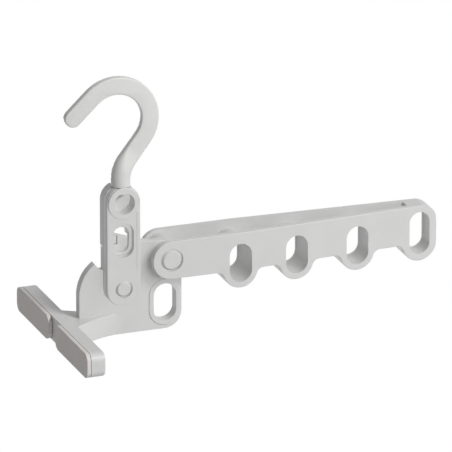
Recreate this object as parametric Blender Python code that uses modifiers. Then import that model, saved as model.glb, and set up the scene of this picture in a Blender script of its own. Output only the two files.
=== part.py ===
"""Five-hole rotating hanger: a wall bracket, a swinging link with a swivelling hook, and a folding arm.

Metres, +Z up. The origin is the middle of the wall pads, in the plane of the wall. +X points into the room
along the arm and +Y runs along the wall, away from the side with the axle heads.
"""

from math import acos, asin, cos, degrees, hypot, pi, radians, sin, sqrt

import bmesh
import bpy
from mathutils import Matrix, Vector

# Fits between pieces
FIT = 0.0003
SWEEP = 0.0004

# Wall bar and its pads
PAD_THICKNESS = 0.0021
PAD_SEPARATION = 0.011
PEG_RADIUS = 0.0016
PEG_LENGTH = 0.004
PEG_PLACES = (0.2, 0.8)
BAR_DEPTH = 0.0084
BAR_HEIGHT = 0.0143
BAR_LENGTH = 0.1176
BAR_CORNER = 0.0045
BAR_ROUND = 0.0013

# Bracket plate, from the foot of the beam to the lug that carries the arm
BEAM_BOTTOM = -0.0055
BEAM_FLARE = 0.014
BEAM_REACH = 0.03
FLARE_POWER = 1.8
FLARE_STEPS = 12
BEAM_ROUND = 0.0009
PLATE_THICKNESS = 0.0055
PLATE_ROUND = 0.0005
LINK_PIVOT_REACH = 0.0387
LINK_PIVOT_HEIGHT = 0.02355
ARM_PIVOT_REACH = 0.0276
ARM_PIVOT_RISE = 0.0141
RIM_RADIUS = 0.0242
FIN_RADIUS = 0.0222
FIN_CENTRE_OFFSET = -0.0014
FIN_CENTRE_DROP = 0.004
FIN_PEAK_ANGLE = 125.6
NOTCH_FLOOR_DROP = 0.01435
NOTCH_FLOOR_WIDTH = 0.0019
NOTCH_RIGHT = 0.0091
TOWER_LEFT = 0.0012
TOWER_RISE = 0.0051
TOWER_FOOT_REACH = 0.013
SHOULDER_REACH = 0.0186
SHOULDER_DROP = 0.001
LUG_RADIUS = 0.009

# Fifth hole, in the bracket plate
LOOP_HOLE_RADIUS = 0.00665
LOOP_HOLE_RUN = 0.0085
LOOP_HOLE_INSET = 0.0101
LOOP_HOLE_FOOT = 0.0116
LOOP_RIM_WIDTH = 0.0026
LOOP_RIM_RISE = 0.0006

# Link shells
LINK_HALF_WIDTH = 0.0098
LINK_LENGTH = 0.0504
LINK_FRONT = -0.0104
LINK_SEAM = -0.00575
LINK_BACK = 0.00175
LINK_ROUND = 0.0006
LINK_LAND = 0.0085
PANEL_MARGIN = 0.0021
PANEL_DEPTH = 0.0004
PANEL_FOOT = 0.0123
PANEL_RAMP = 0.0023
WINDOW_RADIUS = 0.0059
WINDOW_CENTRE = 0.0243
WINDOW_RUN = 0.0082
SLOT_RADIUS = 0.0045
SLOT_RUN = 0.006
BOSS_RADIUS = 0.00935
BOSS_RISE = 0.0012
RECESS_RADIUS = 0.0061
STOP_TONGUE = 0.004
DOWEL_RADIUS = 0.0013
DOWEL_LENGTH = 0.0025
DOWEL_LOW = 0.0098
DOWEL_HIGH = 0.04145

# Hook
SHANK_RADIUS = 0.00545
SHANK_OFFSET = -0.0051
HOOK_RADIUS = 0.0198
HOOK_CENTRE_OFFSET = -0.0027
HOOK_HALF_WIDTH = 0.00495
HOOK_HALF_THICKNESS = 0.0021
HOOK_EDGE = 0.0008
HOOK_TIP_ANGLE = 133.4
HOOK_TIP_LENGTH = 0.0153
HOOK_TIP_CLOSE = 86
HOOK_LEAN = 37.7
HOOK_BEND = 0.018
NECK_LENGTH = 0.0034
MORPH_START = 0.003
MORPH_LENGTH = 0.016
SPINDLE_RADIUS = 0.0025
SPINDLE_TIP_RADIUS = 0.001
SPINDLE_TIP_LENGTH = 0.0022
COLLAR_RADIUS = 0.0042
COLLAR_THICKNESS = 0.0016
ROOF_THICKNESS = 0.0019

# Arm
ARM_HALF_HEIGHT = 0.0111
ARM_HALF_WIDTH = 0.0122
ARM_TIP_HALF_WIDTH = 0.0058
ARM_WALL = 0.0034
ARM_ROUND = 0.0006
ARM_FLOOR = 0.0025
ARM_PARALLEL = 0.0434
STOP_WEB_HEIGHT = 0.0067
STOP_WEB_THICKNESS = 0.003
HOLE_1 = 0.0404
HOLE_2 = 0.0742
HOLE_3 = 0.111
END_HOLE = 0.1489
HOLE_RADIUS = 0.0072
HOLE_RUN = 0.009
END_HOLE_RADIUS = 0.0067
END_HOLE_RUN = 0.0124
HOLE_WALL = 0.003
END_HOLE_WALL = 0.0036
TUNNEL_WALL = 0.0015
LOBE_FILLET = 0.004
TIP_CORNER = 0.009
CHANNEL_END = 0.1424

# Axles
LINK_AXLE_RADIUS = 0.003
LINK_HEAD_RADIUS = 0.0047
LINK_HEAD_THICKNESS = 0.0017
ARM_AXLE_RADIUS = 0.0035
ARM_HEAD_RADIUS = 0.0062
ARM_HEAD_THICKNESS = 0.0015
CAP_STEM_RADIUS = 0.0016
CAP_STEM_LENGTH = 0.004
HEAD_CHAMFER = 0.0003

# Sizes that follow from the ones above
BAR_FRONT = PAD_THICKNESS + FIT
BAR_BACK = BAR_FRONT + BAR_DEPTH
BAR_TOP = BAR_HEIGHT / 2
LINK_PIVOT = Vector((LINK_PIVOT_REACH, 0, LINK_PIVOT_HEIGHT))
ARM_PIVOT = LINK_PIVOT + Vector((ARM_PIVOT_REACH, 0, ARM_PIVOT_RISE))
FIN_CENTRE = (LINK_PIVOT.x + FIN_CENTRE_OFFSET, LINK_PIVOT.z - FIN_CENTRE_DROP)
FIN_REACH = FIN_RADIUS - FIN_CENTRE_OFFSET
PLATE_SIDE = PLATE_THICKNESS / 2
LINK_TOP = LINK_PIVOT.z + LINK_LENGTH
LAND_HEIGHT = LINK_TOP + LINK_LAND
SHELL_BACK = -PLATE_SIDE - SWEEP
BOSS_FRONT = LINK_FRONT - BOSS_RISE
RECESS_FLOOR = SHANK_OFFSET + SPINDLE_TIP_RADIUS + FIT
LAND_FRONT = SHANK_OFFSET - SHANK_RADIUS - FIT
DOWEL_PLACES = [LINK_PIVOT + Vector((0, 0, height)) for height in (DOWEL_LOW, DOWEL_HIGH)]
FORK_HALF = ARM_HALF_WIDTH - ARM_WALL
HUB_SIDE = FORK_HALF - FIT
LOOP_RIGHT = ARM_PIVOT.x + LUG_RADIUS
LOOP_HOLE_X = LOOP_RIGHT - LOOP_HOLE_INSET
LOOP_HOLE_Z = BEAM_BOTTOM + LOOP_HOLE_FOOT
WEB_LEFT = LOOP_RIGHT + FIT
ARM_BOTTOM = ARM_PIVOT.z - ARM_HALF_HEIGHT
ARM_TOP = ARM_PIVOT.z + ARM_HALF_HEIGHT
SEAM_FRONT = LINK_SEAM - FIT / 2
SEAM_BACK = LINK_SEAM + FIT / 2
POCKET_ROOF = LAND_HEIGHT - ROOF_THICKNESS
POCKET_FLOOR = POCKET_ROOF - COLLAR_THICKNESS - 2 * FIT
HOOK_SHOULDER = LAND_HEIGHT + FIT
HOLE_PLACES = [ARM_PIVOT.x + place for place in (HOLE_1, HOLE_2, HOLE_3)]
END_HOLE_X = ARM_PIVOT.x + END_HOLE
ARM_TIP = END_HOLE_X + END_HOLE_RADIUS + END_HOLE_WALL
CUT_MARGIN = 0.002
TURN_STEPS = 32
HALF_TURN_STEP = 180 / TURN_STEPS
HOOK_BEND_STEPS = 8
HOOK_BOWL_STEPS = 30
HOOK_TIP_STEPS = 7
EMPTY_SIZE = 0.01
HOLE_STEPS = 16
CORNER_STEPS = 6
LUG_STEPS = 12
FIN_STEPS = 14
RELIEF_STEPS = 4
SECTION_STEPS = 4
FILLET_STEPS = 5
LOBE_STEPS = 14
ARM_END_STEPS = 20
TIP_CORNER_STEPS = 8
SHARP_ANGLE = 35

# Points closer than this are one point
MERGE_DISTANCE = 0.000005
TURN_MERGE_DISTANCE = 0.00001
PLANE_REACH = 0.000001

# Colours
SHELL_WHITE = (0.62, 0.62, 0.61)
HOOK_WHITE = (0.66, 0.66, 0.64)
PAD_GREY = (0.55, 0.53, 0.52)

for old in list(bpy.data.objects):
    bpy.data.objects.remove(old, do_unlink=True)


def new_collection(name):
    """Collection of that name, linked to the scene."""
    collection = bpy.data.collections.new(name)
    bpy.context.scene.collection.children.link(collection)
    return collection


PARTS = new_collection("five_hole_rotating_hanger")
CUTTERS = new_collection("cutters")


def material(name, colour, roughness):
    """Plain Principled material."""
    result = bpy.data.materials.new(name)
    result.use_nodes = True
    shader = result.node_tree.nodes["Principled BSDF"]
    shader.inputs["Base Color"].default_value = (*colour, 1)
    shader.inputs["Roughness"].default_value = roughness
    shader.inputs["Metallic"].default_value = 0
    return result


def arc(centre, radius, start, end, steps):
    """Points of an arc, angles in degrees."""
    points = []
    for step in range(steps + 1):
        angle = radians(start + (end - start) * step / steps)
        points.append((centre[0] + radius * cos(angle), centre[1] + radius * sin(angle)))
    return points


def stadium(x, low, high, radius, steps=HOLE_STEPS):
    """Upright outline with round ends, centred on low and high."""
    return arc((x, low), radius, 180, 360, steps) + arc((x, high), radius, 0, 180, steps)


def rectangle(low, high, corner, steps=CORNER_STEPS):
    """Outline of a box with round corners."""
    points = arc((low[0] + corner, low[1] + corner), corner, 180, 270, steps)
    points += arc((high[0] - corner, low[1] + corner), corner, 270, 360, steps)
    points += arc((high[0] - corner, high[1] - corner), corner, 0, 90, steps)
    points += arc((low[0] + corner, high[1] - corner), corner, 90, 180, steps)
    return points


def as_mesh(shape, name):
    """Curve object turned into a closed mesh object in world space."""
    bpy.context.scene.collection.objects.link(shape)
    bpy.context.view_layer.update()
    evaluated = shape.evaluated_get(bpy.context.evaluated_depsgraph_get())
    mesh = bpy.data.meshes.new_from_object(evaluated)
    cage = bmesh.new()
    cage.from_mesh(mesh)
    bmesh.ops.remove_doubles(cage, verts=cage.verts, dist=MERGE_DISTANCE)
    bmesh.ops.recalc_face_normals(cage, faces=cage.faces)
    cage.to_mesh(mesh)
    cage.free()
    mesh.transform(shape.matrix_world)
    mesh.name = name
    bpy.data.objects.remove(shape, do_unlink=True)
    return bpy.data.objects.new(name, mesh)


PLANES = {
    "XZ": Matrix(((1, 0, 0), (0, 0, -1), (0, 1, 0))),
    "XY": Matrix(((1, 0, 0), (0, 1, 0), (0, 0, 1))),
    "YZ": Matrix(((0, 0, 1), (1, 0, 0), (0, 1, 0))),
}


def slab(name, loops, low, high, edge=0.0, plane="XZ"):
    """Flat outlines, the first outside and the rest holes, filled from low to high along the third axis."""
    curve = bpy.data.curves.new(name, "CURVE")
    curve.dimensions = "2D"
    curve.fill_mode = "BOTH"
    curve.extrude = (high - low) / 2 - edge
    curve.bevel_depth = edge
    curve.bevel_resolution = 1
    curve.offset = -edge
    for loop in loops:
        spline = curve.splines.new("POLY")
        spline.points.add(len(loop) - 1)
        for point, place in zip(spline.points, loop):
            point.co = (*place, 0, 1)
        spline.use_cyclic_u = True
    shape = bpy.data.objects.new(name, curve)
    turn = PLANES[plane]
    middle = (low + high) / 2
    offset = {"XZ": (0, middle, 0), "XY": (0, 0, middle), "YZ": (middle, 0, 0)}[plane]
    shape.matrix_world = Matrix.Translation(offset) @ turn.to_4x4()
    return as_mesh(shape, name)


def turned(name, profile, centre, along):
    """Profile of (radius, height) from the top down, turned about an axis along X, Y or Z through centre."""
    mesh = bpy.data.meshes.new(name)
    points = [(radius, 0, height) for radius, height in profile]
    edges = [(index, index + 1) for index in range(len(points) - 1)]
    mesh.from_pydata(points, edges, [])
    body = bpy.data.objects.new(name, mesh)
    screw = body.modifiers.new("turn", "SCREW")
    screw.steps = TURN_STEPS
    screw.render_steps = TURN_STEPS
    screw.use_merge_vertices = True
    screw.merge_threshold = TURN_MERGE_DISTANCE
    body.rotation_euler = {"X": (0, pi / 2, 0), "Y": (-pi / 2, 0, 0), "Z": (0, 0, 0)}[along]
    body.location = centre
    return body


def rod(name, radius, low, high, centre, along="Y"):
    """Plain round rod from low to high along its axis."""
    return turned(name, [(0, high), (radius, high), (radius, low), (0, low)], centre, along)


def block(name, low, high):
    """Box between two corners."""
    mesh = bpy.data.meshes.new(name)
    cage = bmesh.new()
    bmesh.ops.create_cube(cage, size=1)
    size = Vector(high) - Vector(low)
    middle = (Vector(high) + Vector(low)) / 2
    place = Matrix.Translation(middle) @ Matrix.Diagonal((*size, 1))
    bmesh.ops.transform(cage, matrix=place, verts=cage.verts)
    cage.to_mesh(mesh)
    cage.free()
    return bpy.data.objects.new(name, mesh)


def tool(body, helper, operation):
    """Joins helper to body, or cuts it out of it."""
    CUTTERS.objects.link(helper)
    helper.hide_render = True
    helper.display_type = "WIRE"
    bpy.context.view_layer.update()
    helper.parent = body
    helper.matrix_parent_inverse = body.matrix_world.inverted()
    boolean = body.modifiers.new(helper.name, "BOOLEAN")
    boolean.operation = operation
    boolean.solver = "EXACT"
    boolean.object = helper


def join(body, helper):
    """Adds helper's solid to body."""
    tool(body, helper, "UNION")


def cut(body, helper):
    """Takes helper's solid out of body."""
    tool(body, helper, "DIFFERENCE")


def part(body, surface, pivot=None):
    """Puts a finished body among the parts, with its origin on its joint and its material."""
    if body.name not in PARTS.objects:
        PARTS.objects.link(body)
    body.data.materials.append(surface)
    body.data.shade_smooth()
    body.data.set_sharp_from_angle(angle=radians(SHARP_ANGLE))
    if pivot is not None:
        bpy.context.view_layer.update()
        body.parent = pivot
        body.matrix_parent_inverse = pivot.matrix_world.inverted()
    return body


def pivot_empty(name, place, parent=None):
    """Empty on a joint's axis, which carries the pieces that move with it."""
    empty = bpy.data.objects.new(name, None)
    empty.empty_display_size = EMPTY_SIZE
    empty.location = place
    PARTS.objects.link(empty)
    bpy.context.view_layer.update()
    if parent is not None:
        empty.parent = parent
        empty.matrix_parent_inverse = parent.matrix_world.inverted()
    return empty


def from_link(x, z):
    """Place in the XZ plane, measured from the link's pivot."""
    return LINK_PIVOT.x + x, LINK_PIVOT.z + z


# Wall pads


def pad_ends(side):
    """The pad's end near the middle of the bar and its far end, along Y."""
    return side * PAD_SEPARATION / 2, side * BAR_LENGTH / 2


def peg_places(side):
    """Places along Y of the pad's two pegs."""
    near, far = pad_ends(side)
    return [near + (far - near) * share for share in PEG_PLACES]


def wall_pad(name, side):
    """Soft pad on one half of the bar's wall face, with two pegs in the bar."""
    low, high = sorted(pad_ends(side))
    outline = rectangle((low, -BAR_TOP), (high, BAR_TOP), BAR_CORNER)
    body = slab(name, [outline], 0, PAD_THICKNESS, plane="YZ")
    for y in peg_places(side):
        join(body, rod(f"{name}_peg", PEG_RADIUS, PAD_THICKNESS / 2, BAR_FRONT + PEG_LENGTH, (0, y, 0), "X"))
    return body


# Bracket


def plate_outline():
    """Outline of the bracket plate: loop corner, lug, stop tower, notch and quarter-round fin."""
    tower_angle = degrees(acos(-TOWER_LEFT / RIM_RADIUS))
    notch_angle = degrees(acos(-NOTCH_RIGHT / RIM_RADIUS))
    notch_floor = RIM_RADIUS - NOTCH_FLOOR_DROP
    points = [(LINK_PIVOT.x - FIN_REACH, BEAM_BOTTOM)]
    points += arc((LOOP_HOLE_X, BEAM_BOTTOM + LOOP_HOLE_INSET), LOOP_HOLE_INSET, 270, 360, LUG_STEPS)
    points += arc((ARM_PIVOT.x, ARM_PIVOT.z), LUG_RADIUS, 0, 90, LUG_STEPS)
    points.append(from_link(SHOULDER_REACH, RIM_RADIUS - SHOULDER_DROP))
    points.append(from_link(TOWER_FOOT_REACH, RIM_RADIUS))
    points.append(from_link(-TOWER_LEFT, RIM_RADIUS + TOWER_RISE))
    points += arc((LINK_PIVOT.x, LINK_PIVOT.z), RIM_RADIUS, tower_angle, notch_angle, CORNER_STEPS)
    points.append(from_link(-NOTCH_RIGHT, notch_floor))
    points.append(from_link(-NOTCH_RIGHT - NOTCH_FLOOR_WIDTH, notch_floor))
    points += arc(FIN_CENTRE, FIN_RADIUS, FIN_PEAK_ANGLE, 180, FIN_STEPS)
    return points


def beam_outline():
    """Plan of the beam, which flares from the plate's thickness out to the bar."""
    front = []
    for step in range(FLARE_STEPS + 1):
        share = step / FLARE_STEPS
        half = PLATE_SIDE + (BEAM_FLARE - PLATE_SIDE) * (1 - share) ** FLARE_POWER
        front.append((BAR_BACK + BEAM_REACH * share, -half))
    inside = BAR_BACK - BAR_ROUND - FIT
    points = [(inside, BEAM_FLARE), (inside, -BEAM_FLARE)]
    points += front
    points += [(x, -y) for x, y in reversed(front)]
    return points


def base_bracket():
    """Wall bar, beam, plate with the fifth hole, and the hub that fills the arm's fork."""
    body = slab("base_bracket", [plate_outline()], -PLATE_SIDE, PLATE_SIDE, PLATE_ROUND)
    half = BAR_LENGTH / 2
    bar = rectangle((-half, -BAR_TOP), (half, BAR_TOP), BAR_CORNER)
    join(body, slab("bar", [bar], BAR_FRONT - BAR_ROUND, BAR_BACK, BAR_ROUND, "YZ"))
    join(body, slab("beam", [beam_outline()], BEAM_BOTTOM, BAR_TOP - FIT, BEAM_ROUND, "XY"))
    rim = LOOP_HOLE_RADIUS + LOOP_RIM_WIDTH
    rim_side = PLATE_SIDE + LOOP_RIM_RISE
    high = LOOP_HOLE_Z + LOOP_HOLE_RUN
    outline = stadium(LOOP_HOLE_X, LOOP_HOLE_Z, high, rim)
    join(body, slab("loop_rim", [outline], -rim_side, rim_side, PLATE_ROUND))
    hub = [
        (0, HUB_SIDE),
        (LUG_RADIUS - HEAD_CHAMFER, HUB_SIDE),
        (LUG_RADIUS - FIT, HUB_SIDE - HEAD_CHAMFER),
        (LUG_RADIUS - FIT, HEAD_CHAMFER - HUB_SIDE),
        (LUG_RADIUS - HEAD_CHAMFER, -HUB_SIDE),
        (0, -HUB_SIDE),
    ]
    join(body, turned("hub", hub, ARM_PIVOT, "Y"))
    join(body, rod("link_boss", LINK_HEAD_RADIUS, SHELL_BACK + FIT, 0, LINK_PIVOT))
    wide = half + CUT_MARGIN
    cut(body, block("wall_face", (-CUT_MARGIN, -wide, -BAR_HEIGHT), (BAR_FRONT, wide, BAR_HEIGHT)))
    for side in (-1, 1):
        for y in peg_places(side):
            depth = BAR_FRONT + PEG_LENGTH + FIT
            cut(body, rod("peg_hole", PEG_RADIUS + FIT, BAR_FRONT - CUT_MARGIN, depth, (0, y, 0), "X"))
    reach = rim_side + CUT_MARGIN
    hole = stadium(LOOP_HOLE_X, LOOP_HOLE_Z, high, LOOP_HOLE_RADIUS)
    cut(body, slab("loop_hole", [hole], -reach, reach))
    cut(body, rod("link_axle_hole", LINK_AXLE_RADIUS + FIT, -reach, reach, LINK_PIVOT))
    deep = HUB_SIDE + CUT_MARGIN
    cut(body, rod("arm_axle_hole", ARM_AXLE_RADIUS + FIT, -deep, deep, ARM_PIVOT))
    return body


# Link


def window_outline(radius, run):
    """Outline of the link's window, or of the slot behind it."""
    low = LINK_PIVOT.z + WINDOW_CENTRE
    return stadium(LINK_PIVOT.x, low, low + run, radius)


def link_slab(name, loops, low, high):
    """One half of the link, cut through by the loops."""
    outline = stadium(LINK_PIVOT.x, LINK_PIVOT.z, LINK_TOP, LINK_HALF_WIDTH)
    return slab(name, [outline, *loops], low, high, LINK_ROUND)


def cut_hook_seat(body):
    """Flat land under the shank, passage for the spindle and pocket for its collar, in either shell."""
    wide = LINK_HALF_WIDTH + CUT_MARGIN
    low = (LINK_PIVOT.x - wide, LAND_FRONT, LAND_HEIGHT)
    high = (LINK_PIVOT.x + wide, LINK_BACK + CUT_MARGIN, LAND_HEIGHT + wide)
    cut(body, block(f"{body.name}_land", low, high))
    axis = (LINK_PIVOT.x, SHANK_OFFSET, 0)
    cut(body, rod(f"{body.name}_passage", SPINDLE_RADIUS + FIT, POCKET_FLOOR, LAND_HEIGHT + FIT, axis, "Z"))
    cut(body, rod(f"{body.name}_pocket", COLLAR_RADIUS + FIT, POCKET_FLOOR, POCKET_ROOF, axis, "Z"))


def panel_cutter():
    """Sunk panel between the link's rims, which ramps up at its foot and runs under the boss."""
    half = LINK_HALF_WIDTH - PANEL_MARGIN
    points = [from_link(-half, PANEL_FOOT), from_link(half, PANEL_FOOT)]
    points += [from_link(half, LINK_LENGTH), from_link(-half, LINK_LENGTH)]
    cutter = slab("panel", [points], LINK_FRONT - PANEL_DEPTH, LINK_FRONT + PANEL_DEPTH)
    for vertex in cutter.data.vertices:
        if vertex.co.z < LINK_PIVOT.z + PANEL_FOOT + FIT and vertex.co.y < LINK_FRONT:
            vertex.co.z -= 2 * PANEL_RAMP
    return cutter


def link_front_shell():
    """Front half of the link: sunk panel, window, and the boss with its recess."""
    top = (LINK_PIVOT.x, 0, LINK_TOP)
    body = link_slab("link_front_shell", [window_outline(WINDOW_RADIUS, WINDOW_RUN)], LINK_FRONT, SEAM_FRONT)
    cut(body, panel_cutter())
    boss = arc((LINK_PIVOT.x, LINK_TOP), BOSS_RADIUS, HALF_TURN_STEP, 360 - HALF_TURN_STEP, TURN_STEPS - 1)
    join(body, slab("boss", [boss], BOSS_FRONT, LINK_FRONT + BOSS_RISE, LINK_ROUND))
    cut(body, rod("front_recess", RECESS_RADIUS, BOSS_FRONT - CUT_MARGIN, SEAM_FRONT + CUT_MARGIN, top))
    seat = LINK_FRONT + LINK_HEAD_THICKNESS + FIT
    bore = [
        (0, SEAM_FRONT + CUT_MARGIN),
        (LINK_AXLE_RADIUS + FIT, SEAM_FRONT + CUT_MARGIN),
        (LINK_AXLE_RADIUS + FIT, seat),
        (LINK_HEAD_RADIUS + FIT, seat),
        (LINK_HEAD_RADIUS + FIT, LINK_FRONT - CUT_MARGIN),
        (0, LINK_FRONT - CUT_MARGIN),
    ]
    cut(body, turned("stepped_bore", bore, LINK_PIVOT, "Y"))
    for place in DOWEL_PLACES:
        bottom = SEAM_FRONT - DOWEL_LENGTH - FIT
        cut(body, rod("dowel_hole", DOWEL_RADIUS + FIT, bottom, SEAM_FRONT + CUT_MARGIN, place))
    cut_hook_seat(body)
    return body


def link_back_shell():
    """Back half of the link: the slot, the step that rides over the bracket's rim, and the stop tongue."""
    body = link_slab("link_back_shell", [window_outline(SLOT_RADIUS, SLOT_RUN)], SEAM_BACK, LINK_BACK)
    wide = LINK_HALF_WIDTH + CUT_MARGIN
    fin_foot = FIN_REACH + SWEEP
    foot = max(RIM_RADIUS + SWEEP, fin_foot)
    shoulder = hypot(TOWER_LEFT, RIM_RADIUS + TOWER_RISE) + FIT
    stop = -TOWER_LEFT - FIT
    relief = [from_link(-wide, -wide), from_link(wide, -wide)]
    relief += [from_link(wide, shoulder), from_link(stop, shoulder)]
    start = 90 + degrees(asin(-stop / foot))
    end = max(start, 90 + degrees(acos(fin_foot / foot)))
    relief += arc((LINK_PIVOT.x, LINK_PIVOT.z), foot, start, end, RELIEF_STEPS)
    relief.append(from_link(-wide, fin_foot))
    cut(body, slab("rim_relief", [relief], SHELL_BACK, LINK_BACK + CUT_MARGIN))
    inside = SEAM_BACK - CUT_MARGIN
    cut(body, rod("bore", LINK_AXLE_RADIUS + FIT, inside, SHELL_BACK + CUT_MARGIN, LINK_PIVOT))
    low = (LINK_PIVOT.x - SLOT_RADIUS - LINK_ROUND, LINK_BACK - STOP_TONGUE, LINK_PIVOT.z + foot)
    high = (LINK_PIVOT.x + stop, LINK_BACK, LINK_PIVOT.z + shoulder)
    join(body, block("stop_tongue", low, high))
    cut(body, rod("recess", RECESS_RADIUS, inside, RECESS_FLOOR, (LINK_PIVOT.x, 0, LINK_TOP)))
    for place in DOWEL_PLACES:
        join(body, rod("dowel", DOWEL_RADIUS, SEAM_FRONT - DOWEL_LENGTH, SEAM_BACK + DOWEL_RADIUS, place))
    cut_hook_seat(body)
    return body


# Hook


def hook_path():
    """Stations up the hook's middle line: place and heading in the XZ plane, from shoulder to tip."""
    lean = radians(HOOK_LEAN)
    shift = HOOK_BEND * (1 - cos(lean))
    straight_end = HOOK_CENTRE_OFFSET + HOOK_RADIUS * cos(lean)
    straight = (straight_end - shift) / sin(lean)
    bend_low = HOOK_SHOULDER + NECK_LENGTH
    bend_high = bend_low + HOOK_BEND * sin(lean)
    centre_z = bend_high + straight * cos(lean) + HOOK_RADIUS * sin(lean)
    stations = [(0, HOOK_SHOULDER + HEAD_CHAMFER, 0, 1)]
    for step in range(HOOK_BEND_STEPS + 1):
        turn = lean * step / HOOK_BEND_STEPS
        across = HOOK_BEND * (1 - cos(turn))
        stations.append((across, bend_low + HOOK_BEND * sin(turn), sin(turn), cos(turn)))
    for step in range(1, HOOK_BEND_STEPS):
        run = straight * step / HOOK_BEND_STEPS
        stations.append((shift + run * sin(lean), bend_high + run * cos(lean), sin(lean), cos(lean)))
    for step in range(HOOK_BOWL_STEPS + 1):
        angle = radians(-HOOK_LEAN + (HOOK_TIP_ANGLE + HOOK_LEAN) * step / HOOK_BOWL_STEPS)
        x = HOOK_CENTRE_OFFSET + HOOK_RADIUS * cos(angle)
        stations.append((x, centre_z + HOOK_RADIUS * sin(angle), -sin(angle), cos(angle)))
    x, z, east, north = stations[-1]
    stations.append((x + HOOK_TIP_LENGTH * east, z + HOOK_TIP_LENGTH * north, east, north))
    return stations


def hook_ring(station, half_width, half_thickness, corner):
    """Section of the hook at a station: a box with round corners, which can be a full circle."""
    x, z, east, north = station
    corner = min(corner, half_width, half_thickness)
    high = (half_width, half_thickness)
    points = rectangle((-half_width, -half_thickness), high, corner, SECTION_STEPS)
    return [Vector((LINK_PIVOT.x + x + a * north, SHANK_OFFSET + b, z - a * east)) for a, b in points]


def hook_rings():
    """Sections from the round shank, through the flat bar, to the round end of the tip."""
    stations = hook_path()
    foot = (0, HOOK_SHOULDER, 0, 1)
    rings = [hook_ring(foot, SHANK_RADIUS - HEAD_CHAMFER, SHANK_RADIUS - HEAD_CHAMFER, SHANK_RADIUS)]
    travelled = 0
    previous = stations[0]
    for station in stations:
        travelled += hypot(station[0] - previous[0], station[1] - previous[1])
        previous = station
        share = min(max((travelled - NECK_LENGTH - MORPH_START) / MORPH_LENGTH, 0), 1)
        share = share * share * (3 - 2 * share)
        half_width = SHANK_RADIUS + (HOOK_HALF_WIDTH - SHANK_RADIUS) * share
        half_thickness = SHANK_RADIUS + (HOOK_HALF_THICKNESS - SHANK_RADIUS) * share
        corner = SHANK_RADIUS + (HOOK_EDGE - SHANK_RADIUS) * share
        rings.append(hook_ring(station, half_width, half_thickness, corner))
    x, z, east, north = stations[-1]
    for step in range(1, HOOK_TIP_STEPS + 1):
        angle = radians(HOOK_TIP_CLOSE * step / HOOK_TIP_STEPS)
        ahead = HOOK_HALF_WIDTH * sin(angle)
        left = max(HOOK_EDGE - HOOK_HALF_WIDTH + ahead, 0)
        half_thickness = HOOK_HALF_THICKNESS - HOOK_EDGE + sqrt(HOOK_EDGE ** 2 - left ** 2)
        end = (x + ahead * east, z + ahead * north, east, north)
        rings.append(hook_ring(end, HOOK_HALF_WIDTH * cos(angle), half_thickness, HOOK_EDGE))
    return rings


def loft(name, rings):
    """Closed solid through rings of equal length."""
    mesh = bpy.data.meshes.new(name)
    cage = bmesh.new()
    rows = [[cage.verts.new(point) for point in ring] for ring in rings]
    count = len(rings[0])
    for low, high in zip(rows, rows[1:]):
        for index in range(count):
            after = (index + 1) % count
            cage.faces.new((low[index], low[after], high[after], high[index]))
    cage.faces.new(reversed(rows[0]))
    cage.faces.new(rows[-1])
    bmesh.ops.remove_doubles(cage, verts=cage.verts, dist=MERGE_DISTANCE)
    bmesh.ops.dissolve_degenerate(cage, edges=cage.edges, dist=MERGE_DISTANCE)
    bmesh.ops.recalc_face_normals(cage, faces=cage.faces)
    cage.to_mesh(mesh)
    cage.free()
    return bpy.data.objects.new(name, mesh)


def hook():
    """Flat bar bent to a hook, with a round shank and a spindle whose collar the link's shells hold."""
    body = loft("hook", hook_rings())
    collar_top = POCKET_ROOF - FIT
    collar_foot = collar_top - COLLAR_THICKNESS
    tip = collar_foot - SPINDLE_TIP_LENGTH
    spindle = [
        (0, HOOK_SHOULDER + NECK_LENGTH / 2),
        (SPINDLE_RADIUS, HOOK_SHOULDER + NECK_LENGTH / 2),
        (SPINDLE_RADIUS, collar_top),
        (COLLAR_RADIUS, collar_top),
        (COLLAR_RADIUS, collar_foot),
        (SPINDLE_TIP_RADIUS, collar_foot),
        (SPINDLE_TIP_RADIUS, tip),
        (0, tip),
    ]
    join(body, turned("spindle", spindle, (LINK_PIVOT.x, SHANK_OFFSET, 0), "Z"))
    return body


# Arm


def lobe(x, radius, end):
    """Underside of the arm round a hole: a fillet, the lobe's round and, but at the tip, a fillet again."""
    low = (x, ARM_BOTTOM)
    reach = radius + LOBE_FILLET
    lift = degrees(asin(LOBE_FILLET / reach))
    aside = reach * cos(radians(lift))
    points = arc((x - aside, ARM_BOTTOM - LOBE_FILLET), LOBE_FILLET, 90, lift, FILLET_STEPS)[:-1]
    if end:
        return points + arc(low, radius, 180 + lift, 360, LOBE_STEPS)
    points += arc(low, radius, 180 + lift, 360 - lift, LOBE_STEPS)
    points += arc((x + aside, ARM_BOTTOM - LOBE_FILLET), LOBE_FILLET, 180 - lift, 90, FILLET_STEPS)[1:]
    return points


def arm_outline():
    """Side outline of the arm."""
    points = arc((ARM_PIVOT.x, ARM_PIVOT.z), ARM_HALF_HEIGHT, 90, 270, ARM_END_STEPS)
    for x in HOLE_PLACES:
        points += lobe(x, HOLE_RADIUS + HOLE_WALL, False)
    points += lobe(END_HOLE_X, END_HOLE_RADIUS + END_HOLE_WALL, True)
    points += arc((ARM_TIP - TIP_CORNER, ARM_TOP - TIP_CORNER), TIP_CORNER, 0, 90, TIP_CORNER_STEPS)
    return points


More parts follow.
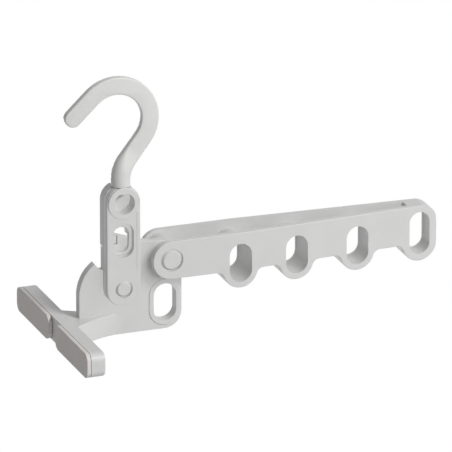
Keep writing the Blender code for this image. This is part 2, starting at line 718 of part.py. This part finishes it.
def channel_outline():
    """Side outline of the space between the cheeks: fork, stop web and floor with its tunnels."""
    floor = ARM_BOTTOM + ARM_FLOOR
    left = ARM_PIVOT.x - ARM_HALF_HEIGHT - CUT_MARGIN
    low = ARM_BOTTOM - CUT_MARGIN
    top = ARM_TOP + CUT_MARGIN
    web_top = ARM_BOTTOM + STOP_WEB_HEIGHT
    web_right = WEB_LEFT + STOP_WEB_THICKNESS
    points = [(left, low), (WEB_LEFT, low), (WEB_LEFT, web_top), (web_right, web_top), (web_right, floor)]
    for x in HOLE_PLACES:
        radius = HOLE_RADIUS + TUNNEL_WALL
        points.append((x - radius, floor))
        points += arc((x, ARM_BOTTOM + HOLE_RUN), radius, 180, 0, HOLE_STEPS)
        points.append((x + radius, floor))
    radius = END_HOLE_RADIUS + TUNNEL_WALL
    points.append((END_HOLE_X - radius, floor))
    end = ARM_PIVOT.x + CHANNEL_END
    stop = degrees(acos((end - END_HOLE_X) / radius))
    points += arc((END_HOLE_X, ARM_BOTTOM + END_HOLE_RUN), radius, 180, stop, CORNER_STEPS)
    points += [(end, top), (left, top)]
    return points


def narrow(body, half):
    """Draws the arm's sides in towards the tip: a face at half keeps its distance from the outside."""
    start = ARM_PIVOT.x + ARM_PARALLEL
    slope = (ARM_HALF_WIDTH - ARM_TIP_HALF_WIDTH) / (ARM_TIP - start)
    cage = bmesh.new()
    cage.from_mesh(body.data)
    everything = cage.verts[:] + cage.edges[:] + cage.faces[:]
    bend = (start, 0, 0)
    bmesh.ops.bisect_plane(cage, geom=everything, dist=PLANE_REACH, plane_co=bend, plane_no=(1, 0, 0))
    for vertex in cage.verts:
        vertex.co.y *= 1 - slope * max(vertex.co.x - start, 0) / half
    cage.to_mesh(body.data)
    cage.free()
    return body


def arm():
    """Tapering fork of two cheeks, joined by a floor, a stop web and the tunnels of four holes."""
    loops = [arm_outline()]
    for x in HOLE_PLACES:
        loops.append(stadium(x, ARM_BOTTOM, ARM_BOTTOM + HOLE_RUN, HOLE_RADIUS))
    loops.append(stadium(END_HOLE_X, ARM_BOTTOM, ARM_BOTTOM + END_HOLE_RUN, END_HOLE_RADIUS))
    body = narrow(slab("arm", loops, -ARM_HALF_WIDTH, ARM_HALF_WIDTH, ARM_ROUND), ARM_HALF_WIDTH)
    cut(body, narrow(slab("channel", [channel_outline()], -FORK_HALF, FORK_HALF), FORK_HALF))
    outside = ARM_HALF_WIDTH + CUT_MARGIN
    seat = ARM_HALF_WIDTH - ARM_HEAD_THICKNESS - FIT
    cut(body, rod("arm_bore", ARM_AXLE_RADIUS + FIT, -outside, outside, ARM_PIVOT))
    cut(body, rod("arm_head_seat", ARM_HEAD_RADIUS + FIT, -outside, -seat, ARM_PIVOT))
    cut(body, rod("arm_cap_seat", ARM_HEAD_RADIUS + FIT, seat, outside, ARM_PIVOT))
    return body


# Axles


def axle(name, pivot, shaft, head, front, thickness, cap_face):
    """Headed axle along Y, with a bore at the back for its cap's stem."""
    end = cap_face - FIT
    bore = cap_face - CAP_STEM_LENGTH - FIT
    profile = [
        (0, bore),
        (CAP_STEM_RADIUS + FIT, bore),
        (CAP_STEM_RADIUS + FIT, end),
        (shaft, end),
        (shaft, front + thickness),
        (head, front + thickness),
        (head, front + HEAD_CHAMFER),
        (head - HEAD_CHAMFER, front),
        (0, front),
    ]
    return turned(name, profile, pivot, "Y")


def axle_cap(name, pivot, head, thickness, cap_face):
    """Cap behind an axle, with the stem that holds it."""
    back = cap_face + thickness
    profile = [
        (0, back),
        (head - HEAD_CHAMFER, back),
        (head, back - HEAD_CHAMFER),
        (head, cap_face),
        (CAP_STEM_RADIUS, cap_face),
        (CAP_STEM_RADIUS, cap_face - CAP_STEM_LENGTH),
        (0, cap_face - CAP_STEM_LENGTH),
    ]
    return turned(name, profile, pivot, "Y")


# Assembly

shell_white = material("shell_white", SHELL_WHITE, 0.45)
hook_white = material("hook_white", HOOK_WHITE, 0.4)
pad_grey = material("pad_grey", PAD_GREY, 0.8)

link_pivot = pivot_empty("link_pivot", LINK_PIVOT)
hook_pivot = pivot_empty("hook_pivot", (LINK_PIVOT.x, SHANK_OFFSET, LAND_HEIGHT), link_pivot)
arm_pivot = pivot_empty("arm_pivot", ARM_PIVOT)

part(base_bracket(), shell_white)
part(wall_pad("wall_pad_front", -1), pad_grey)
part(wall_pad("wall_pad_rear", 1), pad_grey)

part(link_front_shell(), shell_white, link_pivot)
part(link_back_shell(), shell_white, link_pivot)
link_cap_face = PLATE_SIDE + FIT
part(axle("link_axle", LINK_PIVOT, LINK_AXLE_RADIUS, LINK_HEAD_RADIUS, LINK_FRONT, LINK_HEAD_THICKNESS,
          link_cap_face), shell_white, link_pivot)
part(axle_cap("link_axle_cap", LINK_PIVOT, LINK_HEAD_RADIUS, LINK_HEAD_THICKNESS, link_cap_face),
     shell_white, link_pivot)
part(hook(), hook_white, hook_pivot)

part(arm(), shell_white, arm_pivot)
arm_cap_face = ARM_HALF_WIDTH - ARM_HEAD_THICKNESS
part(axle("arm_axle", ARM_PIVOT, ARM_AXLE_RADIUS, ARM_HEAD_RADIUS, -ARM_HALF_WIDTH, ARM_HEAD_THICKNESS,
          arm_cap_face), shell_white, arm_pivot)
part(axle_cap("arm_axle_cap", ARM_PIVOT, ARM_HEAD_RADIUS, ARM_HEAD_THICKNESS, arm_cap_face),
     shell_white, arm_pivot)
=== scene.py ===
from math import cos, radians, sin

import bpy
from mathutils import Matrix, Vector


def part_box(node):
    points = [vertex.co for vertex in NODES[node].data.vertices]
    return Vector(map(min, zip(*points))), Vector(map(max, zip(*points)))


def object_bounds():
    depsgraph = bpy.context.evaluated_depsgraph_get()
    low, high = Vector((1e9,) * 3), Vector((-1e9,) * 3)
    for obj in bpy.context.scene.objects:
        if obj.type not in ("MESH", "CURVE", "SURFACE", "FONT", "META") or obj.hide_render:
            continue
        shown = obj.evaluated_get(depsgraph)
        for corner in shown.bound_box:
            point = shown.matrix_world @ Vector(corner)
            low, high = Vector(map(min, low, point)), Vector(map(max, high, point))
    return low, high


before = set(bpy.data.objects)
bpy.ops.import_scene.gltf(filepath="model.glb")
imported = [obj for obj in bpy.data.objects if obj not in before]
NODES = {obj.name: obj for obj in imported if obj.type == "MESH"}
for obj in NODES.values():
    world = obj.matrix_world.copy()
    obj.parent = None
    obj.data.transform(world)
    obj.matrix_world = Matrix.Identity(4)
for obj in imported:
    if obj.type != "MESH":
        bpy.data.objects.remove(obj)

CAD_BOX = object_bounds()

# View of the photograph: angles in degrees, pixels of its 452 x 452 frame, the sensor in millimetres.
# The link's axle is seen at its pixel, read on a plane just in front of the axle's head.
IMAGE_SIZE = 452
VIEW_AZIMUTH = -20.5
VIEW_ELEVATION = 20.1
FOCAL_PIXELS = 8000
METRES_PER_PIXEL = 0.00055
AXLE_PIXEL = (124.5, 290.0)
AXLE_PLANE = -0.011
SENSOR = 36
CLIP_END = 50

# Lamps: two keys at one place and a fill low behind; the blockers are the nodes that cast a lamp's shadow
LAMP_DISTANCE = 1.5
LAMP_SIZE = 0.6
KEY_DIRECTION = Vector((0.38, -0.72, 0.58))
KEY_POWER = 9.96
KEY_BLOCKERS = ["base_bracket", "hook"]
SECOND_POWER = 6.64
SECOND_BLOCKERS = ["base_bracket", "hook", "arm"]
FILL_DIRECTION = Vector((0.1, 0.95, -0.3))
FILL_POWER = 7.5

# World: even grey, less by this share towards the dark side and more by it on the other side
WORLD_STRENGTH = 0.37
DARK_DIRECTION = Vector((-1, 0.2, 0.7)).normalized()
DARK_SHARE = 0.3
PLAIN_WHITE = (1, 1, 1, 1)

# Floor, far below the part because the part hangs on a wall
FLOOR_DROP = 0.5
FLOOR_SIZE = 12
FLOOR_COLOUR = (0.8, 0.8, 0.8, 1)
FLOOR_ROUGHNESS = 0.9

# Plastics: the moulding's, the hook's and the pads' own colour, roughness and drift of tone
MOULDING_COLOUR = (0.64, 0.64, 0.635)
MOULDING_ROUGHNESS = 0.46
HOOK_COLOUR = (0.68, 0.68, 0.67)
HOOK_ROUGHNESS = 0.42
PAD_COLOUR = (0.7, 0.67, 0.645)
PAD_ROUGHNESS = 0.8
MOULDING_TONE = 0.02
PAD_TONE = 0.03

# What all plastics share: noise scales per metre, the band of noise that the tone spans, and the grain
TONE_SCALE = 55
TONE_DETAIL = 3
TONE_BAND = (0.3, 0.7)
GLOSS_SCALE = 240
GLOSS_SPREAD = 0.05
FINE_DETAIL = 2
GRAIN_SIZE = 0.00045
GRAIN_DEPTH = 0.00002
GRAIN_STRENGTH = 0.35

# Edges: corners within the weld distance join, flats within the flat angle become one face, and edges past
# the edge angle are rounded by up to these widths, or stay sharp on the nodes that aren't named. At the full
# area weight the largest face at a corner sets its shading.
WELD_DISTANCE = 0.00001
FLAT_ANGLE = radians(0.6)
EDGE_ANGLE = radians(32)
EDGE_ROUNDING = {
    "arm": 0.0006,
    "base_bracket": 0.0004,
    "link_front_shell": 0.0004,
    "link_back_shell": 0.0003,
}
ROUNDING_SEGMENTS = 2
AREA_WEIGHT = 100

# Axle heads: the front edge, this deep from the face, is drawn in by this share of the radius
HEAD_EDGE = 0.0004
HEAD_DRAW = {"arm_axle": 0.17, "link_axle": 0.2}


def view_directions(azimuth, elevation):
    """Right, up and forward directions of a camera at that azimuth and elevation."""
    turn = radians(azimuth)
    tilt = radians(elevation)
    right = Vector((cos(turn), sin(turn), 0))
    forward = Vector((-sin(turn) * cos(tilt), cos(turn) * cos(tilt), -sin(tilt)))
    return right, right.cross(forward), forward


def add_camera():
    """Camera at the photograph's angle, which sees the link's axle at its pixel."""
    right, up, forward = view_directions(VIEW_AZIMUTH, VIEW_ELEVATION)
    low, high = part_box("link_axle")
    axle = Vector(((low.x + high.x) / 2, AXLE_PLANE, (low.z + high.z) / 2))
    across = (AXLE_PIXEL[0] - IMAGE_SIZE / 2) / FOCAL_PIXELS
    down = (AXLE_PIXEL[1] - IMAGE_SIZE / 2) / FOCAL_PIXELS
    distance = FOCAL_PIXELS * METRES_PER_PIXEL
    place = axle - distance * (forward + across * right - down * up)
    data = bpy.data.cameras.new("camera")
    data.sensor_width = SENSOR
    data.lens = SENSOR * FOCAL_PIXELS / IMAGE_SIZE
    data.clip_end = CLIP_END
    camera = bpy.data.objects.new("camera", data)
    turn = Matrix((right, up, -forward)).transposed()
    camera.matrix_world = Matrix.Translation(place) @ turn.to_4x4()
    bpy.context.scene.collection.objects.link(camera)
    bpy.context.scene.camera = camera


def add_lamp(name, direction, power, blockers):
    """Round area lamp that looks at the object's middle; the named nodes alone cast its shadow."""
    middle = (Vector(CAD_BOX[0]) + Vector(CAD_BOX[1])) / 2
    data = bpy.data.lights.new(name, "AREA")
    data.shape = "DISK"
    data.size = LAMP_SIZE
    data.energy = power
    lamp = bpy.data.objects.new(name, data)
    lamp.location = middle + direction.normalized() * LAMP_DISTANCE
    lamp.rotation_euler = direction.to_track_quat("Z", "Y").to_euler()
    bpy.context.scene.collection.objects.link(lamp)
    shades = bpy.data.collections.new(name + "_shades")
    for node in blockers:
        shades.objects.link(NODES[node])
    lamp.light_linking.blocker_collection = shades


def white_to_camera(tree, shader):
    """Mixes a shader with plain white for rays that come from the camera or a mirror or glass."""
    nodes, links = tree.nodes, tree.links
    path = nodes.new("ShaderNodeLightPath")
    direct = nodes.new("ShaderNodeMath")
    direct.operation = "MAXIMUM"
    links.new(path.outputs["Is Camera Ray"], direct.inputs[0])
    links.new(path.outputs["Is Glossy Ray"], direct.inputs[1])
    seen = nodes.new("ShaderNodeMath")
    seen.operation = "MAXIMUM"
    links.new(direct.outputs[0], seen.inputs[0])
    links.new(path.outputs["Is Transmission Ray"], seen.inputs[1])
    white = nodes.new("ShaderNodeBackground" if shader.type == "BACKGROUND" else "ShaderNodeEmission")
    white.inputs["Color"].default_value = PLAIN_WHITE
    white.inputs["Strength"].default_value = 1
    mix = nodes.new("ShaderNodeMixShader")
    links.new(seen.outputs[0], mix.inputs[0])
    links.new(shader.outputs[0], mix.inputs[1])
    links.new(white.outputs[0], mix.inputs[2])
    return mix


def add_world():
    """Grey surroundings, darker up on the left, that the camera sees as white."""
    world = bpy.data.worlds.new("studio")
    world.use_nodes = True
    tree = world.node_tree
    background = tree.nodes["Background"]
    background.inputs["Color"].default_value = PLAIN_WHITE
    place = tree.nodes.new("ShaderNodeTexCoord")
    towards_dark = tree.nodes.new("ShaderNodeVectorMath")
    towards_dark.operation = "DOT_PRODUCT"
    towards_dark.inputs[1].default_value = DARK_DIRECTION
    tree.links.new(place.outputs["Generated"], towards_dark.inputs[0])
    level = tree.nodes.new("ShaderNodeMapRange")
    level.inputs["From Min"].default_value = -1
    level.inputs["From Max"].default_value = 1
    level.inputs["To Min"].default_value = WORLD_STRENGTH * (1 + DARK_SHARE)
    level.inputs["To Max"].default_value = WORLD_STRENGTH * (1 - DARK_SHARE)
    tree.links.new(towards_dark.outputs["Value"], level.inputs["Value"])
    tree.links.new(level.outputs["Result"], background.inputs["Strength"])
    mix = white_to_camera(tree, background)
    tree.links.new(mix.outputs[0], tree.nodes["World Output"].inputs["Surface"])
    bpy.context.scene.world = world


def add_floor():
    """Pale floor that takes the part's shadow and light, and that the camera sees as white."""
    mesh = bpy.data.meshes.new("floor")
    half = FLOOR_SIZE / 2
    corners = [(-half, -half, 0), (half, -half, 0), (half, half, 0), (-half, half, 0)]
    mesh.from_pydata(corners, [], [(0, 1, 2, 3)])
    floor = bpy.data.objects.new("floor", mesh)
    floor.location.z = CAD_BOX[0][2] - FLOOR_DROP
    paint = bpy.data.materials.new("floor_paint")
    paint.use_nodes = True
    tree = paint.node_tree
    shader = tree.nodes["Principled BSDF"]
    shader.inputs["Base Color"].default_value = FLOOR_COLOUR
    shader.inputs["Roughness"].default_value = FLOOR_ROUGHNESS
    mix = white_to_camera(tree, shader)
    tree.links.new(mix.outputs[0], tree.nodes["Material Output"].inputs["Surface"])
    mesh.materials.append(paint)
    bpy.context.scene.collection.objects.link(floor)


def add_noise(tree, place, scale, detail):
    """Noise in the piece's own coordinates, as the socket that gives its value."""
    noise = tree.nodes.new("ShaderNodeTexNoise")
    noise.inputs["Scale"].default_value = scale
    noise.inputs["Detail"].default_value = detail
    tree.links.new(place.outputs["Object"], noise.inputs["Vector"])
    return noise.outputs["Fac"]


def moulded(name, colour, roughness, tone):
    """Moulded plastic: slow drift of tone, uneven gloss and the fine grain of the mould."""
    paint = bpy.data.materials.new(name)
    paint.use_nodes = True
    tree = paint.node_tree
    nodes, links = tree.nodes, tree.links
    shader = nodes["Principled BSDF"]
    place = nodes.new("ShaderNodeTexCoord")
    ramp = nodes.new("ShaderNodeValToRGB")
    for stop, position, factor in zip(ramp.color_ramp.elements, TONE_BAND, (1 - tone, 1 + tone)):
        stop.position = position
        stop.color = (*[part * factor for part in colour], 1)
    links.new(add_noise(tree, place, TONE_SCALE, TONE_DETAIL), ramp.inputs["Fac"])
    links.new(ramp.outputs["Color"], shader.inputs["Base Color"])
    gloss = nodes.new("ShaderNodeMapRange")
    gloss.inputs["To Min"].default_value = roughness - GLOSS_SPREAD
    gloss.inputs["To Max"].default_value = roughness + GLOSS_SPREAD
    links.new(add_noise(tree, place, GLOSS_SCALE, FINE_DETAIL), gloss.inputs["Value"])
    links.new(gloss.outputs["Result"], shader.inputs["Roughness"])
    bump = nodes.new("ShaderNodeBump")
    bump.inputs["Strength"].default_value = GRAIN_STRENGTH
    bump.inputs["Distance"].default_value = GRAIN_DEPTH
    links.new(add_noise(tree, place, 1 / GRAIN_SIZE, FINE_DETAIL), bump.inputs["Height"])
    links.new(bump.outputs["Normal"], shader.inputs["Normal"])
    return paint


def mesh_group(name):
    """New node group for a modifier, with the nodes where the mesh comes in and goes out."""
    group = bpy.data.node_groups.new(name, "GeometryNodeTree")
    group.interface.new_socket("Geometry", in_out="INPUT", socket_type="NodeSocketGeometry")
    group.interface.new_socket("Geometry", in_out="OUTPUT", socket_type="NodeSocketGeometry")
    return group, group.nodes.new("NodeGroupInput"), group.nodes.new("NodeGroupOutput")


def smooth_group():
    """Node group that shades a mesh smooth, except across edges sharper than the edge angle."""
    group, source, result = mesh_group("smooth_by_angle")
    nodes, links = group.nodes, group.links
    angle = nodes.new("GeometryNodeInputMeshEdgeAngle")
    limit = nodes.new("FunctionNodeCompare")
    limit.data_type = "FLOAT"
    limit.operation = "LESS_EQUAL"
    limit.inputs["B"].default_value = EDGE_ANGLE
    links.new(angle.outputs["Unsigned Angle"], limit.inputs["A"])
    faces = nodes.new("GeometryNodeSetShadeSmooth")
    faces.domain = "FACE"
    edges = nodes.new("GeometryNodeSetShadeSmooth")
    edges.domain = "EDGE"
    links.new(source.outputs[0], faces.inputs["Geometry"])
    links.new(faces.outputs[0], edges.inputs["Geometry"])
    links.new(limit.outputs["Result"], edges.inputs["Shade Smooth"])
    links.new(edges.outputs[0], result.inputs[0])
    return group


def groove_group(node, share):
    """Node group that draws in the front edge of an axle's head, so that a groove shows round it."""
    low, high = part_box(node)
    group, source, result = mesh_group(node + "_groove")
    nodes, links = group.nodes, group.links
    place = nodes.new("GeometryNodeInputPosition")
    depth = nodes.new("ShaderNodeSeparateXYZ")
    links.new(place.outputs[0], depth.inputs[0])
    front = nodes.new("FunctionNodeCompare")
    front.data_type = "FLOAT"
    front.operation = "LESS_THAN"
    front.inputs["B"].default_value = low.y + HEAD_EDGE
    links.new(depth.outputs["Y"], front.inputs["A"])
    inward = nodes.new("ShaderNodeVectorMath")
    inward.operation = "SUBTRACT"
    inward.inputs[0].default_value = (low + high) / 2
    links.new(place.outputs[0], inward.inputs[1])
    draw = nodes.new("ShaderNodeVectorMath")
    draw.operation = "MULTIPLY"
    draw.inputs[1].default_value = (share, 0, share)
    links.new(inward.outputs[0], draw.inputs[0])
    move = nodes.new("GeometryNodeSetPosition")
    links.new(source.outputs[0], move.inputs["Geometry"])
    links.new(front.outputs["Result"], move.inputs["Selection"])
    links.new(draw.outputs[0], move.inputs["Offset"])
    links.new(move.outputs[0], result.inputs[0])
    return group


def round_edges(piece, width):
    """Rounds the sharp edges, no further than their faces allow without crossing."""
    rounding = piece.modifiers.new("edges", "BEVEL")
    rounding.width = width
    rounding.segments = ROUNDING_SEGMENTS
    rounding.limit_method = "ANGLE"
    rounding.angle_limit = EDGE_ANGLE
    rounding.miter_outer = "MITER_ARC"
    rounding.use_clamp_overlap = True


def even_flats(piece):
    """Shades each flat evenly beside its rounded edges, with normals that follow the largest faces."""
    even = piece.modifiers.new("even_flats", "WEIGHTED_NORMAL")
    even.keep_sharp = True
    even.weight = AREA_WEIGHT


def finish(piece, paint, width, group):
    """Gives a node its material, clears its facets, rounds its edges and shades round faces smooth."""
    piece.data.materials.clear()
    piece.data.materials.append(paint)
    weld = piece.modifiers.new("weld", "WELD")
    weld.merge_threshold = WELD_DISTANCE
    flats = piece.modifiers.new("flats", "DECIMATE")
    flats.decimate_type = "DISSOLVE"
    flats.angle_limit = FLAT_ANGLE
    if width:
        round_edges(piece, width)
    piece.modifiers.new("smooth", "NODES").node_group = group
    if width:
        even_flats(piece)


add_camera()
add_world()
add_floor()
add_lamp("key", KEY_DIRECTION, KEY_POWER, KEY_BLOCKERS)
add_lamp("second", KEY_DIRECTION, SECOND_POWER, SECOND_BLOCKERS)
add_lamp("fill", FILL_DIRECTION, FILL_POWER, list(NODES))

bpy.context.scene.view_settings.view_transform = "Standard"

moulding = moulded("white_moulding", MOULDING_COLOUR, MOULDING_ROUGHNESS, MOULDING_TONE)
hook_moulding = moulded("hook_moulding", HOOK_COLOUR, HOOK_ROUGHNESS, MOULDING_TONE)
soft_pad = moulded("soft_pad", PAD_COLOUR, PAD_ROUGHNESS, PAD_TONE)
other_paints = {"hook": hook_moulding, "wall_pad_front": soft_pad, "wall_pad_rear": soft_pad}

smooth = smooth_group()
for node, share in HEAD_DRAW.items():
    NODES[node].modifiers.new("groove", "NODES").node_group = groove_group(node, share)
for node, piece in NODES.items():
    finish(piece, other_paints.get(node, moulding), EDGE_ROUNDING.get(node, 0), smooth)
